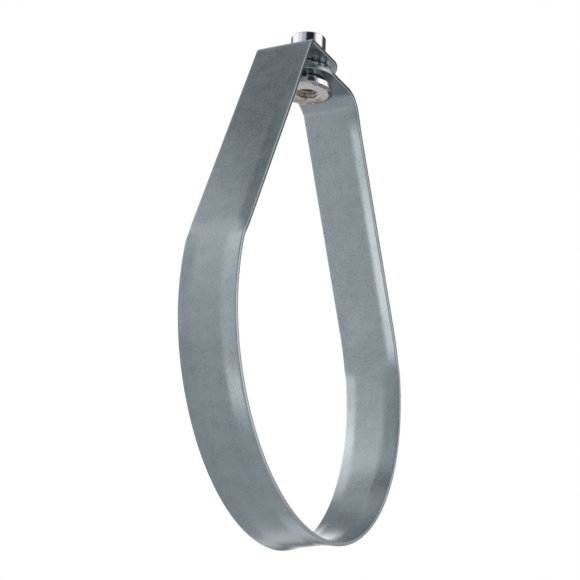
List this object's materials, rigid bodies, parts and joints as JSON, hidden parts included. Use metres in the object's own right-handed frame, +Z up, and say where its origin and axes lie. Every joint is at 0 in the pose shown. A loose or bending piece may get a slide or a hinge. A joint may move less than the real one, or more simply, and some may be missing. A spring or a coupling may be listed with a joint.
{
  "type": "swivel ring pipe hanger",
  "caption": "Teardrop band of bent steel strip that hangs a pipe from a threaded rod, with a captive nut that swivels in its overlapping tabs.",
  "frame": {"origin": "centre of the pipe that the ring holds, half way across the strip", "axes": "+Z up along the rod, Y along the pipe with the pictured front at -Y, +X to the side whose leg carries the lower tab"},
  "size_m": [0.1764, 0.0292, 0.2538],
  "materials": {
    "galvanised_strip": "grey galvanised sheet, fine mottled grain, satin",
    "plated_nut": "bright plated turned steel with knurled rims, stained under the flange"
  },
  "bodies": {
    "nut": {"swivel_nut": "plated_nut"},
    "band": {"ring_band": "galvanised_strip"}
  },
  "joints": [
    {"name": "swivel", "type": "hinge", "parent": "nut", "child": "band", "pos_m": [0, 0, 0.146], "axis": [0, 0, 1], "continuous": true}
  ]
}
